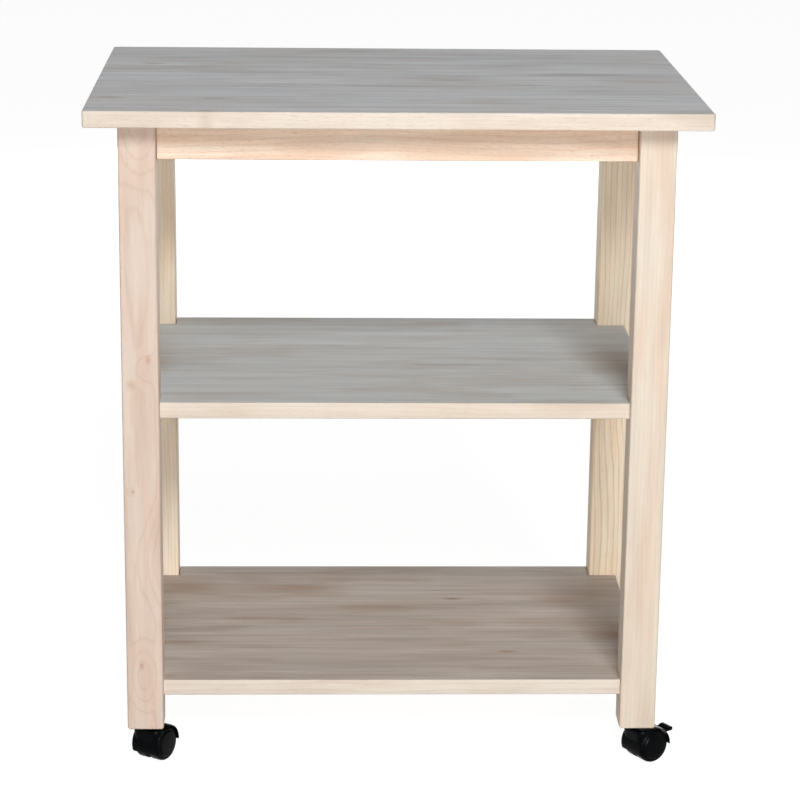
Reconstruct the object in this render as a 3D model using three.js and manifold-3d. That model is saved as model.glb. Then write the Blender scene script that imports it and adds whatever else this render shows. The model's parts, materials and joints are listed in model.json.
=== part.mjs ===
// Microwave cart of unfinished rubberwood: a thick top on four square legs, two notched shelves,
// an apron frame under the top, and four twin-wheel stem casters, two of them with brake levers.
// Units are millimetres, +Z is up. The origin is on the floor, under the middle of the top.
// +X is to the right and -Y is the front. The top overhangs the legs by the same amount all round.

import * as THREE from 'three';
import { mergeVertices } from 'three/addons/utils/BufferGeometryUtils.js';
import Module from 'manifold-3d';

const wasm = await Module();
wasm.setup();

// ---- Driving dimensions -------------------------------------------------------------------

// Clearances
const fitGap = 0.3;            // between two pieces that bear on each other
const bulkOverlap = 0.6;       // how far two solids sink into each other before they are joined
const past = 1;                // how far a cutting solid runs past what it cuts

// Panels and legs
const topWidth = 660;
const topDepth = 466;
const topThickness = 18;
const topCornerRound = 3;
const overhang = 34;           // from the edge of the top to the outer face of a leg
const legSize = 40;
const legEdgeRound = 2.2;
const legEndEase = 2;          // eased arrises of both ends of a leg
const shelfThickness = 18;
const shelfSetback = 7;        // from the outer face of a leg to the edge of a shelf
const panelEase = 1;           // eased arris of every panel and apron
const legFoot = 39;            // leg below the bottom shelf
const lowerBayHeight = 304;    // clear, between the shelves
const upperBayHeight = 307;    // clear, between the middle shelf and the top

// Apron frame
const apronHeight = 41;
const apronThickness = 18;
const apronSetback = 12;       // from the outer face of a leg to the face of an apron
const kerfWidth = 2.6;
const kerfDepth = 8.5;
const kerfEndGap = 1;          // between the end of a brace's hook and the bottom of its kerf

// Screws that hold the top down on the long aprons, sunk in their lower edges
const screwRadius = 2.2;
const screwHeadRadius = 4.2;
const screwHeadHeight = 2.6;
const screwLength = 38;
const screwSink = 12;          // from the lower edge of the apron up to the head
const screwPoint = 4;

// Corner braces, hanger bolts and wing nuts
const braceHeight = 30;
const braceSheet = 2;
const braceStandOff = 12;      // from the inner corner of a leg to the brace, along the diagonal
const braceFlange = 20;        // bearing length of a brace along each apron
const boltRadius = 4;
const boltInLeg = 34;          // from the inner corner of the leg
const boltTail = 16;           // past the brace
const boltPoint = 6;
const boltEndChamfer = 1;
const nutHubRadius = 7.5;
const nutTopRadius = 6;
const nutHubHeight = 8;
const nutCollar = 2;           // height of the straight part of the hub
const nutWingStart = 0.5;      // from the seat up to the root of a wing
const nutWingSpan = 34;
const nutWingHeight = 12;
const nutWingSheet = 2.4;

// Shelf dowels
const dowelRadius = 4;
const dowelLength = 40;
const dowelChamfer = 1;

// Casters
const wheelRadius = 20;
const treadWidth = 13.4;
const shoulderRound = 4.6;     // rounded outer edge of a tread, across the wheel
const shoulderDrop = 3.8;      // and towards its axle
const treadChamfer = 1;        // inner edge of a tread
const wheelDome = 1.3;         // how far the domed outer face stands out from the tread
const discRadius = 15.8;
const wheelCup = 8;            // depth of the hollow in the inner side
const wheelRim = 4;            // thickness of the rim around the hollow
const wheelHubRadius = 6;
const wheelGap = 6.4;          // between the two wheels of a caster
const trail = 17;              // from the swivel axis to the axle
const axleRadius = 2.5;
const axleInWheel = 11;
const wheelSideGap = 0.4;      // between a wheel and the web of the hood
const fenderGap = 0.6;         // between the tread and the hood
const hoodWall = 1.5;
const hoodWidth = 35.8;
const hoodSideRound = 4;       // width of the rounding towards each side of the cover
const hoodSideDrop = 1.1;      // how far the cover comes down in that rounding
const hoodRearAngle = 3;       // degrees below the axle where the cover ends at the back
const hoodFrontAngle = 22;     // degrees below the axle where the cover ends at the front
const hoodHubRadius = 5.5;
const webEnd = 1.3;            // from the axle back to the end of the web on a braked caster
const nosePlanRound = 8.5;     // corners of the nose, seen from above
const noseEdgeInset = 2.6;     // rounding of the upper edge of the nose, seen from above
const noseEdgeDrop = 5;        // and seen from the side
const swivelGap = 2.1;         // between the hood and the flange of the socket

// Stem and its socket in the leg
const stemRadius = 4;
const stemInLeg = 27;
const stemChamfer = 1.5;
const spigotRadius = 2;
const spigotLength = 12;       // part of the stem that is held in the web of the hood
const ringBulge = 0.15;        // grip ring on the stem
const ringHeight = 3;
const ringFromEnd = 6;
const socketWall = 1.2;
const socketLength = 31;
const socketFlangeRadius = 9.5;
const socketFlange = 3.4;
const socketEdge = 0.6;        // chamfer round the lower edge of the flange

// Brake levers: a pedal on a heel that fills a slot in the back of the cover, over the treads,
// and an arm between the wheels that clips to a journal
const leverTravel = 20;        // degrees from released to locked
const pedalWidth = 16;
const pedalCornerRound = 5;
const pedalReach = 29.5;       // from the journal to the tip, when released and level
const pedalSheet = 2;          // thickness of the pedal behind its lip
const pedalLip = 4.6;          // thickness of the lip at its highest
const pedalLipLength = 12;     // from the foot of the lip to the tip
const pedalTip = 1.6;          // thickness that the lip comes down to at the tip
const pedalUnder = 0.9;        // from the journal's axis up to the underside, when released
const padGap = 0.3;            // between the heel and the treads, when locked
const heelStart = 12;          // degrees above the axle, when locked
const heelEnd = 40;
const slotEnd = 55;            // degrees above the axle where the slot for the heel ends
const slotSideGap = 0.4;
const armWidth = 5.2;
const armStart = 15;           // degrees above the axle where the arm meets the heel, when locked
const armEnd = 37;
const armHookLower = -37;      // degrees about the journal where the arm's two edges start
const armHookUpper = 72;
const journalRadius = 2.2;
const journalNeck = 2;
const journalBack = 6;         // from the axle to the journal, along the trail
const journalUp = 8.6;         // from the axle up to the journal
const hookWall = 1.9;
const hookStart = 212;         // degrees; the hook's opening lets the neck through its travel
const hookEnd = 486;

// Each caster: where it stands, how it points, and whether its lever is there and locked.
// The angle is the direction of the trail, in degrees from +X towards +Y.
const casters = [
  { name: 'front_left', side: -1, end: -1, angle: 59, brake: 'locked' },
  { name: 'front_right', side: 1, end: -1, angle: 33, brake: 'released' },
  { name: 'rear_left', side: -1, end: 1, angle: 38, brake: 'none' },
  { name: 'rear_right', side: 1, end: 1, angle: 33, brake: 'none' },
];

// Facets round a full turn
const wheelFacets = 20;
const coverFacets = 28;
const roundFacets = 12;

// ---- Derived places -----------------------------------------------------------------------

const radians = THREE.MathUtils.degToRad;

// The wheels stand on a flat of their facets, so the axle is one flat's distance above the floor.
const axleHeight = wheelRadius * Math.cos(Math.PI / wheelFacets);
const fenderRadius = wheelRadius + fenderGap;
const hoodRadius = fenderRadius + hoodWall;
const hoodTop = axleHeight + hoodRadius;
const flangeBottom = hoodTop + swivelGap;
const legBottom = flangeBottom + socketFlange + fitGap;

const bottomShelfBase = legBottom + legFoot;
const bottomShelfTop = bottomShelfBase + shelfThickness;
const middleShelfBase = bottomShelfTop + lowerBayHeight;
const middleShelfTop = middleShelfBase + shelfThickness;
const topBase = middleShelfTop + upperBayHeight;

const legX = topWidth / 2 - overhang - legSize / 2;
const legY = topDepth / 2 - overhang - legSize / 2;
const apronBase = topBase - fitGap - apronHeight;
const apronMiddle = apronBase + apronHeight / 2;

// ---- Materials ----------------------------------------------------------------------------

const paint = (color, roughness, metalness) =>
  new THREE.MeshStandardMaterial({ color, roughness, metalness });
const panelWood = paint(0xe6d3bd, 0.62, 0);
const legWood = paint(0xead0bb, 0.62, 0);
const apronWood = paint(0xe0c2a4, 0.62, 0);
const dowelWood = paint(0xd8bb93, 0.7, 0);
const blackNylon = paint(0x26272b, 0.42, 0);
const zincSteel = paint(0xb9bcc0, 0.32, 1);

// ---- Geometry helpers ---------------------------------------------------------------------

const signedVolume = (geometry) => {
  const a = new THREE.Vector3();
  const b = new THREE.Vector3();
  const c = new THREE.Vector3();
  const points = geometry.getAttribute('position');
  const index = geometry.getIndex();
  let volume = 0;
  for (let i = 0; i < index.count; i += 3) {
    a.fromBufferAttribute(points, index.getX(i));
    b.fromBufferAttribute(points, index.getX(i + 1));
    c.fromBufferAttribute(points, index.getX(i + 2));
    volume += a.dot(b.cross(c)) / 6;
  }
  return volume;
};

// One closed skin: shared corners merged, slivers of no area dropped, faces pointing out.
function closed(geometry) {
  const bare = geometry.clone();
  bare.deleteAttribute('normal');
  bare.deleteAttribute('uv');
  const merged = mergeVertices(bare, 1e-4);
  const index = merged.getIndex();
  const faces = [];
  for (let i = 0; i < index.count; i += 3) {
    const face = [index.getX(i), index.getX(i + 1), index.getX(i + 2)];
    if (new Set(face).size === 3) faces.push(...face);
  }
  merged.setIndex(faces);
  if (signedVolume(merged) < 0) merged.setIndex(faces.reverse());
  merged.computeVertexNormals();
  return merged;
}

function solid(geometry) {
  const shell = closed(geometry);
  return new wasm.Manifold(new wasm.Mesh({
    numProp: 3,
    vertProperties: Float32Array.from(shell.getAttribute('position').array),
    triVerts: Uint32Array.from(shell.getIndex().array),
  }));
}

function skin(manifold) {
  const mesh = manifold.getMesh();
  const geometry = new THREE.BufferGeometry();
  geometry.setAttribute('position', new THREE.BufferAttribute(mesh.vertProperties, 3));
  geometry.setIndex(new THREE.BufferAttribute(mesh.triVerts, 1));
  geometry.computeVertexNormals();
  return geometry;
}

const join = (...geometries) => skin(geometries.map(solid).reduce((whole, piece) => whole.add(piece)));
const cut = (body, ...tools) =>
  skin(tools.map(solid).reduce((whole, tool) => whole.subtract(tool), solid(body)));
const common = (one, other) => skin(solid(one).intersect(solid(other)));

// A solid of revolution about Z from [radius, height] corners that start and end on the axis.
const turned = (corners, facets) => {
  const profile = corners.map(([radius, height]) => new THREE.Vector2(radius, height));
  return closed(new THREE.LatheGeometry(profile, facets).rotateX(Math.PI / 2));
};

const rod = (radius, bottom, top, facets = roundFacets) =>
  turned([[0, bottom], [radius, bottom], [radius, top], [0, top]], facets);

// A bore's flats, not its corners, are at the stated radius, so what turns in it stays clear.
const bore = (radius, bottom, top, facets = roundFacets) =>
  rod(radius / Math.cos(Math.PI / facets), bottom, top, facets);

// Lay a piece that was made along Z along X, Y or the corner diagonal instead.
const alongX = (geometry) => geometry.rotateY(Math.PI / 2);
const alongY = (geometry) => geometry.rotateX(-Math.PI / 2);
const alongDiagonal = (geometry) => geometry.rotateY(Math.PI / 2).rotateZ(Math.PI / 4);

const outline = (points) => new THREE.Shape(points.map(([x, y]) => new THREE.Vector2(x, y)));

function roundedRectangle(width, depth, round) {
  const shape = new THREE.Shape();
  const x = width / 2 - round;
  const y = depth / 2 - round;
  shape.absarc(x, y, round, 0, Math.PI / 2);
  shape.absarc(-x, y, round, Math.PI / 2, Math.PI);
  shape.absarc(-x, -y, round, Math.PI, 1.5 * Math.PI);
  shape.absarc(x, -y, round, 1.5 * Math.PI, 2 * Math.PI);
  return shape;
}

// A plate of the shape's full size whose arrises are eased, by as much inwards as downwards
// unless a drop is given.
function easedPlate(shape, thickness, ease, { curveSegments = 3, bevelSegments = 1, drop = ease } = {}) {
  const plate = new THREE.ExtrudeGeometry(shape, {
    depth: thickness - 2 * drop,
    bevelEnabled: true,
    bevelThickness: drop,
    bevelSize: ease,
    bevelOffset: -ease,
    bevelSegments,
    curveSegments,
  });
  return closed(plate.translate(0, 0, drop));
}

const plainPlate = (shape, thickness, curveSegments = 8) =>
  closed(new THREE.ExtrudeGeometry(shape, { depth: thickness, bevelEnabled: false, curveSegments }));

// A side view in caster coordinates (x along the trail, y up) given width across the caster.
const acrossCaster = (shape, width, curveSegments = 10) =>
  plainPlate(shape, width, curveSegments).rotateX(Math.PI / 2).translate(0, width / 2, 0);

// The outline of a bent strip: a centre line given thickness, mitred at each bend.
function stripShape(line, thickness) {
  const points = line.map(([x, y]) => new THREE.Vector2(x, y));
  const offset = points.map((point, i) => {
    const before = point.clone().sub(points[Math.max(i - 1, 0)]);
    const after = points[Math.min(i + 1, points.length - 1)].clone().sub(point);
    const into = (before.lengthSq() > 0 ? before : after).normalize();
    const out = (after.lengthSq() > 0 ? after : into).clone().normalize();
    const mitre = into.clone().add(out).normalize();
    const reach = thickness / 2 / mitre.dot(out);
    return new THREE.Vector2(-mitre.y, mitre.x).multiplyScalar(reach);
  });
  const left = points.map((point, i) => point.clone().add(offset[i]));
  const right = points.map((point, i) => point.clone().sub(offset[i])).reverse();
  return new THREE.Shape([...left, ...right]);
}

const cart = new THREE.Group();

function add(parent, name, geometry, material) {
  const mesh = new THREE.Mesh(geometry, material);
  mesh.name = name;
  parent.add(mesh);
  return mesh;
}

// ---- Top and its screws -------------------------------------------------------------------

// A screw goes up through the middle of each long apron into the top.
const apronFace = legSize / 2 - apronSetback;          // from a leg's axis out to an apron's face
const screwY = legY + apronFace - apronThickness / 2;
const screwHead = apronBase + screwSink;
const screwSeat = screwHead + screwHeadHeight;
const screwEnd = screwHead + screwLength;
const screw = turned([
  [0, screwHead], [screwHeadRadius, screwHead], [screwHeadRadius, screwSeat], [screwRadius, screwSeat],
  [screwRadius, screwEnd - screwPoint], [0, screwEnd],
], roundFacets);
for (const [name, end] of [['front', -1], ['rear', 1]]) {
  add(cart, `top_screw_${name}`, screw, zincSteel).position.y = end * screwY;
}

const panelFace = roundedRectangle(topWidth, topDepth, topCornerRound);
const panel = easedPlate(panelFace, topThickness, panelEase, { curveSegments: 2 });
const screwHoles = [-1, 1].map((end) =>
  bore(screwRadius + fitGap, topBase - past, screwEnd + fitGap).translate(0, end * screwY, 0));
add(cart, 'top_panel', cut(panel.translate(0, 0, topBase), ...screwHoles), panelWood);

// ---- Legs ---------------------------------------------------------------------------------

// A leg stands on its caster. Its coordinates are those of the front left leg, about its own
// axis and at its real height. Inwards is +X and +Y.
const socketRadius = stemRadius + fitGap + socketWall;
const cornerReach = legSize * Math.SQRT1_2;
const dowelDepth = dowelLength / 2;

// A dowel joins each leg to each shelf, through the leg's inner X face.
const dowelHeights = {
  bottom: bottomShelfBase + shelfThickness / 2,
  middle: middleShelfBase + shelfThickness / 2,
};
const dowelX = legSize / 2 + fitGap / 2;

function legGeometry() {
  const legTop = topBase - fitGap;
  const square = roundedRectangle(legSize, legSize, legEdgeRound);
  const post = easedPlate(square, legTop - legBottom, legEndEase, { curveSegments: 2 });
  post.translate(0, 0, legBottom);
  const socketBore = bore(socketRadius + fitGap, legBottom - past, legBottom + socketLength + fitGap);
  const boltEnd = cornerReach - boltInLeg - fitGap;
  const boltBore = alongDiagonal(bore(boltRadius + fitGap, boltEnd, cornerReach + past));
  boltBore.translate(0, 0, apronMiddle);
  const dowelBores = Object.values(dowelHeights).map((height) => {
    const start = dowelX - dowelDepth - fitGap;
    return alongX(bore(dowelRadius + fitGap, start, legSize / 2 + past)).translate(0, 0, height);
  });
  return cut(post, socketBore, boltBore, ...dowelBores);
}

// Turn a front left piece into the one of another corner. Mirroring keeps inwards inwards.
function atCorner(geometry, { side, end }) {
  return closed(geometry.clone().scale(-side, -end, 1).translate(side * legX, end * legY, 0));
}

const leg = legGeometry();
for (const caster of casters) {
  add(cart, `leg_${caster.name}`, atCorner(leg, caster), legWood);
}

// ---- Aprons -------------------------------------------------------------------------------

// Each apron fits between two legs. A kerf near each end takes the hooked end of a brace.
const apronInner = apronThickness - apronFace;         // from a leg's axis in to its inner face
const braceCorner = legSize + braceStandOff * Math.SQRT2;
const braceBearing = apronInner + fitGap + braceSheet / 2;
const braceKnee = braceCorner - braceBearing;
const braceHook = braceKnee + braceFlange;

// Made with its outer face at y = 0 and its inner face at y = its thickness.
function apronGeometry(legSpan, screwed) {
  const length = legSpan - legSize - 2 * fitGap;
  const face = outline([
    [-length / 2, 0], [length / 2, 0], [length / 2, apronHeight], [-length / 2, apronHeight],
  ]);
  const board = easedPlate(face, apronThickness, panelEase).rotateX(Math.PI / 2);
  board.translate(0, apronThickness, apronBase);
  const kerfs = [-1, 1].map((way) => {
    const kerf = new THREE.BoxGeometry(kerfWidth, 2 * kerfDepth, apronHeight + 2 * past);
    return kerf.translate(way * (legSpan / 2 - braceHook), apronThickness, apronMiddle);
  });
  const shank = bore(screwRadius + fitGap, apronBase, apronBase + apronHeight + past);
  const head = bore(screwHeadRadius + fitGap, apronBase - past, screwSeat + fitGap);
  const holes = screwed ? [shank, head].map((hole) => hole.translate(0, apronThickness / 2, 0)) : [];
  return cut(board, ...kerfs, ...holes);
}

const longApron = apronGeometry(2 * legX, true);
const shortApron = apronGeometry(2 * legY, false);
const aprons = [
  { name: 'apron_front', board: longApron, turn: 0, reach: legY },
  { name: 'apron_rear', board: longApron, turn: Math.PI, reach: legY },
  { name: 'apron_left', board: shortApron, turn: -Math.PI / 2, reach: legX },
  { name: 'apron_right', board: shortApron, turn: Math.PI / 2, reach: legX },
];
for (const { name, board, turn, reach } of aprons) {
  const placed = board.clone().translate(0, -reach - apronFace, 0).rotateZ(turn);
  add(cart, name, placed, apronWood);
}

// ---- Shelves ------------------------------------------------------------------------------

function shelfGeometry(base) {
  const outerX = legX + legSize / 2 - shelfSetback;
  const outerY = legY + legSize / 2 - shelfSetback;
  const innerX = legX - legSize / 2 - fitGap;
  const innerY = legY - legSize / 2 - fitGap;
  const shape = outline([
    [-innerX, -outerY], [innerX, -outerY], [innerX, -innerY], [outerX, -innerY],
    [outerX, innerY], [innerX, innerY], [innerX, outerY], [-innerX, outerY],
    [-innerX, innerY], [-outerX, innerY], [-outerX, -innerY], [-innerX, -innerY],
  ]);
  const board = easedPlate(shape, shelfThickness, panelEase).translate(0, 0, base);
  const dowelEnd = legX - dowelX - dowelDepth - fitGap;
  const bores = casters.map(({ side, end }) => {
    const hole = alongX(bore(dowelRadius + fitGap, dowelEnd, innerX + past));
    return hole.scale(side, 1, 1).translate(0, end * legY, base + shelfThickness / 2);
  });
  return cut(board, ...bores);
}

add(cart, 'middle_shelf', shelfGeometry(middleShelfBase), panelWood);
add(cart, 'bottom_shelf', shelfGeometry(bottomShelfBase), panelWood);

const dowel = alongX(turned([
  [0, -dowelDepth], [dowelRadius - dowelChamfer, -dowelDepth], [dowelRadius, -dowelDepth + dowelChamfer],
  [dowelRadius, dowelDepth - dowelChamfer], [dowelRadius - dowelChamfer, dowelDepth], [0, dowelDepth],
], roundFacets));
for (const [shelf, height] of Object.entries(dowelHeights)) {
  for (const caster of casters) {
    const placed = atCorner(dowel.clone().translate(dowelX, 0, height), caster);
    add(cart, `${shelf}_shelf_dowel_${caster.name}`, placed, dowelWood);
  }
}

// ---- Corner braces ------------------------------------------------------------------------

// A bent steel strip across the inside of each corner, hooked into the kerfs of both aprons.
function braceGeometry() {
  const hookDepth = apronInner - kerfDepth + kerfEndGap;
  const plan = stripShape([
    [braceHook, hookDepth], [braceHook, braceBearing], [braceKnee, braceBearing],
    [braceBearing, braceKnee], [braceBearing, braceHook], [hookDepth, braceHook],
  ], braceSheet);
  const strip = plainPlate(plan, braceHeight).translate(0, 0, apronMiddle - braceHeight / 2);
  const across = braceCorner * Math.SQRT1_2;
  const hole = alongDiagonal(bore(boltRadius + fitGap, across - 2 * braceSheet, across + 2 * braceSheet));
  return cut(strip, hole.translate(0, 0, apronMiddle));
}

const braceFace = braceCorner * Math.SQRT1_2 + braceSheet / 2;

function hangerBoltGeometry() {
  const inner = cornerReach - boltInLeg;
  const tail = braceFace + boltTail;
  return alongDiagonal(turned([
    [0, inner], [boltRadius, inner + boltPoint], [boltRadius, tail - boltEndChamfer],
    [boltRadius - boltEndChamfer, tail], [0, tail],
  ], roundFacets)).translate(0, 0, apronMiddle);
}

function wingNutGeometry() {
  const seat = braceFace + fitGap;
  const hub = turned([
    [0, seat], [nutHubRadius, seat], [nutHubRadius, seat + nutCollar],
    [nutTopRadius, seat + nutHubHeight], [0, seat + nutHubHeight],
  ], roundFacets);
  const tip = nutWingSpan / 2;
  const root = boltRadius + fitGap + bulkOverlap;
  const wings = [-1, 1].map((way) => {
    const shape = new THREE.Shape();
    shape.moveTo(way * root, nutWingStart);
    shape.quadraticCurveTo(way * tip, nutWingStart, way * tip, nutWingHeight);
    shape.quadraticCurveTo(way * nutHubRadius, nutWingHeight, way * root, nutHubHeight - bulkOverlap);
    return plainPlate(shape, nutWingSheet, 3).rotateX(Math.PI / 2).translate(0, nutWingSheet / 2, seat);
  });
  const whole = cut(join(hub, ...wings), bore(boltRadius + fitGap, seat - past, seat + nutWingHeight));
  return alongDiagonal(whole).translate(0, 0, apronMiddle);
}

const brace = braceGeometry();
const hangerBolt = hangerBoltGeometry();
const wingNut = wingNutGeometry();
for (const caster of casters) {
  add(cart, `corner_brace_${caster.name}`, atCorner(brace, caster), zincSteel);
  add(cart, `hanger_bolt_${caster.name}`, atCorner(hangerBolt, caster), zincSteel);
  add(cart, `wing_nut_${caster.name}`, atCorner(wingNut, caster), zincSteel);
}

// ---- Casters ------------------------------------------------------------------------------

// Caster coordinates: the swivel axis is Z, the floor is z = 0 and the trail points along +X.
const wheelInner = wheelGap / 2;
const axleReach = wheelInner + axleInWheel;

// Angles that step through a quarter turn, for roundings and domes.
const quarterTurn = [0, 1, 2].map((step) => step * Math.PI / 4);

// Half of a twin wheel, with its inner side at z = 0 and its domed face up.
function wheelGeometry() {
  const hubBore = (axleRadius + fitGap) / Math.cos(Math.PI / wheelFacets);
  const boreEnd = axleInWheel + fitGap;
  const rimInner = wheelRadius - wheelRim;
  const shoulder = quarterTurn.map((angle) => [
    wheelRadius - shoulderDrop * (1 - Math.cos(angle)), treadWidth - shoulderRound * (1 - Math.sin(angle)),
  ]);
  const dome = quarterTurn.map((angle) => [
    discRadius * Math.cos(angle), treadWidth + wheelDome * Math.sin(angle),
  ]);
  const profile = [
    [0, boreEnd], [hubBore, boreEnd], [hubBore, 0], [wheelHubRadius, 0], [wheelHubRadius, wheelCup],
    [rimInner, wheelCup], [rimInner, 0], [wheelRadius - treadChamfer, 0], [wheelRadius, treadChamfer],
    ...shoulder, ...dome,
  ];
  // Half a facet's turn puts a flat, not a corner, on the floor.
  return turned(profile, wheelFacets).rotateZ(Math.PI / wheelFacets);
}

// A point at an angle and distance from the axle, in the side view of the caster. The trail
// points at 0 degrees and the nose at 180.
const noseDirection = 180;
const fromAxle = (angle, distance) => [
  trail + distance * Math.cos(radians(angle)), axleHeight + distance * Math.sin(radians(angle)),
];

const aboutAxle = (geometry) => alongY(geometry).translate(trail, 0, axleHeight);
const pivotX = trail + journalBack;
const pivotZ = axleHeight + journalUp;
const fromPivot = (angle, distance) => [
  pivotX + distance * Math.cos(radians(angle)), pivotZ + distance * Math.sin(radians(angle)),
];
const aboutPivot = (geometry) => alongY(geometry).translate(pivotX, 0, pivotZ);

// The barrel that the cover is cut from, with its sides rounded down.
function barrelGeometry() {
  const half = hoodWidth / 2;
  const side = quarterTurn.map((angle) => [
    hoodRadius - hoodSideDrop * (1 - Math.sin(angle)), half - hoodSideRound * (1 - Math.cos(angle)),
  ]);
  const otherSide = side.map(([radius, across]) => [radius, -across]);
  return aboutAxle(turned([[0, -half], ...otherSide, ...side.reverse(), [0, half]], coverFacets));
}

// The side view of all that lies between two angles about the axle, out past the barrel.
function sector(from, to) {
  const far = 2 * hoodRadius;
  const middle = (from + to) / 2;
  return outline([[trail, axleHeight], fromAxle(from, far), fromAxle(middle, 2 * far), fromAxle(to, far)]);
}

function hoodGeometry(braked) {
  // The nose carries the flat roof under the leg down to the front of the wheels.
  const noseReach = hoodRadius - trail;
  const noseLength = hoodRadius + nosePlanRound;
  const nosePlan = roundedRectangle(noseLength, hoodWidth, nosePlanRound);
  const nose = easedPlate(nosePlan, hoodTop - axleHeight + noseEdgeDrop, noseEdgeInset, {
    curveSegments: 2, bevelSegments: 2, drop: noseEdgeDrop,
  });
  nose.translate(noseLength / 2 - noseReach, 0, axleHeight - noseEdgeDrop);
  const noseEnd = new THREE.BoxGeometry(noseLength, hoodWidth + 2 * past, 2 * hoodTop);
  noseEnd.translate(trail + noseLength / 2, 0, hoodTop);
  const covered = acrossCaster(sector(-hoodRearAngle, noseDirection + hoodFrontAngle), hoodWidth + 2 * past);
  const bulk = common(join(barrelGeometry(), cut(nose, noseEnd)), covered);

  // Two wheel wells leave the web that carries the axle and the end of the stem.
  const half = hoodWidth / 2;
  const webHalf = wheelGap / 2 - wheelSideGap;
  const wells = [-1, 1].map((way) => {
    const start = way > 0 ? webHalf : -half - past;
    return aboutAxle(bore(fenderRadius, start, start + half + past - webHalf, coverFacets));
  });
  const cover = cut(bulk, ...wells);
  const hub = aboutAxle(rod(hoodHubRadius, -webHalf, webHalf, coverFacets));
  const pieces = [cover, hub];
  if (braked) {
    // The web stops short of the lever's arm, and the slot lets the heel and the pedal swing.
    const room = new THREE.BoxGeometry(hoodRadius, wheelGap, 2 * fenderRadius);
    room.translate(trail + webEnd + hoodRadius / 2, 0, axleHeight);
    const slotSector = acrossCaster(sector(-slotEnd, slotEnd), pedalWidth + 2 * slotSideGap);
    const slot = cut(slotSector, aboutAxle(rod(wheelRadius, -hoodWidth, hoodWidth, coverFacets)));
    pieces[0] = cut(cover, room, slot);

    // A neck and a journal carry the hook of the arm.
    const neckLength = journalBack - webEnd + bulkOverlap;
    const neck = new THREE.BoxGeometry(neckLength, 2 * webHalf, journalNeck);
    pieces.push(neck.translate(pivotX - neckLength / 2, 0, pivotZ));
    pieces.push(aboutPivot(rod(journalRadius, -webHalf, webHalf)));
  }
  return cut(
    join(...pieces),
    bore(spigotRadius + fitGap, hoodTop - spigotLength, hoodTop + past),
    aboutAxle(bore(axleRadius + fitGap, -wheelGap, wheelGap)),
  );
}

// The pedal is drawn level, about the journal, as it stands when the lever is released.
function pedalGeometry() {
  const top = pedalUnder + pedalSheet;
  const lipTop = pedalUnder + pedalLip;
  const lipStart = pedalReach - pedalLipLength;
  const side = new THREE.Shape();
  side.moveTo(journalRadius, pedalUnder);
  side.lineTo(pedalReach, pedalUnder);
  side.lineTo(pedalReach, pedalUnder + pedalTip);
  side.quadraticCurveTo(pedalReach - pedalLip / 2, lipTop, lipStart + pedalLipLength / 2, lipTop);
  side.quadraticCurveTo(lipStart + pedalLipLength / 4, lipTop, lipStart, top);
  side.lineTo(journalRadius, top);
  const planLength = 2 * pedalReach;
  const plan = plainPlate(roundedRectangle(planLength, pedalWidth, pedalCornerRound), 2 * pedalReach, 3);
  plan.translate(0, 0, -pedalReach);
  return common(acrossCaster(side, pedalWidth, 3), plan);
}

// The lever is put together locked, and then lifted by its turn.
function leverGeometry(lift) {
  const heel = acrossCaster(sector(heelStart, heelEnd), pedalWidth);
  const barrel = aboutAxle(rod(hoodRadius, -hoodWidth, hoodWidth, coverFacets));
  const pedal = pedalGeometry().rotateY(radians(leverTravel)).translate(pivotX, 0, pivotZ);
  const overTreads = aboutAxle(bore(wheelRadius + padGap, -hoodWidth, hoodWidth, coverFacets));
  const blade = cut(join(common(heel, barrel), pedal), overTreads);

  // The arm runs between the wheels to a hook that clips over the journal.
  const hookBore = journalRadius + fitGap;
  const hookOuter = hookBore + hookWall;
  const hook = new THREE.Shape();
  hook.absarc(pivotX, pivotZ, hookOuter, radians(hookStart), radians(hookEnd), false);
  hook.absarc(pivotX, pivotZ, hookBore, radians(hookEnd), radians(hookStart), true);
  const armReach = wheelRadius + padGap + bulkOverlap;
  const arm = outline([
    fromPivot(armHookLower, hookBore + hookWall / 2), fromAxle(armStart, armReach),
    fromAxle(armEnd, armReach), fromPivot(armHookUpper, hookBore + hookWall / 2),
  ]);
  const journalBore = aboutPivot(bore(hookBore, -armWidth, armWidth));
  const clip = cut(join(acrossCaster(hook, armWidth), acrossCaster(arm, armWidth)), journalBore);
  const lever = join(blade, clip).translate(-pivotX, 0, -pivotZ);
  return lever.rotateY(-radians(lift)).translate(pivotX, 0, pivotZ);
}

function stemGeometry() {
  const shoulder = hoodTop + fitGap;
  const end = legBottom + stemInLeg;
  const ring = end - ringFromEnd;
  return turned([
    [0, shoulder - spigotLength], [spigotRadius, shoulder - spigotLength], [spigotRadius, shoulder],
    [stemRadius, shoulder], [stemRadius, ring - ringHeight], [stemRadius + ringBulge, ring - ringHeight / 2],
    [stemRadius, ring], [stemRadius, end - stemChamfer], [stemRadius - stemChamfer, end], [0, end],
  ], roundFacets);
}

function socketGeometry() {
  const sleeve = turned([
    [0, flangeBottom], [socketFlangeRadius - socketEdge, flangeBottom],
    [socketFlangeRadius, flangeBottom + socketEdge],
    [socketFlangeRadius, flangeBottom + socketFlange], [socketRadius, flangeBottom + socketFlange],
    [socketRadius, legBottom + socketLength], [0, legBottom + socketLength],
  ], roundFacets);
  return cut(sleeve, bore(stemRadius + fitGap, flangeBottom - past, legBottom + socketLength + past));
}

const wheel = wheelGeometry();
const axle = alongY(rod(axleRadius, -axleReach, axleReach, wheelFacets)).translate(trail, 0, axleHeight);
const plainHood = hoodGeometry(false);
const brakedHood = hoodGeometry(true);
const stem = stemGeometry();
const socket = socketGeometry();

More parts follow.
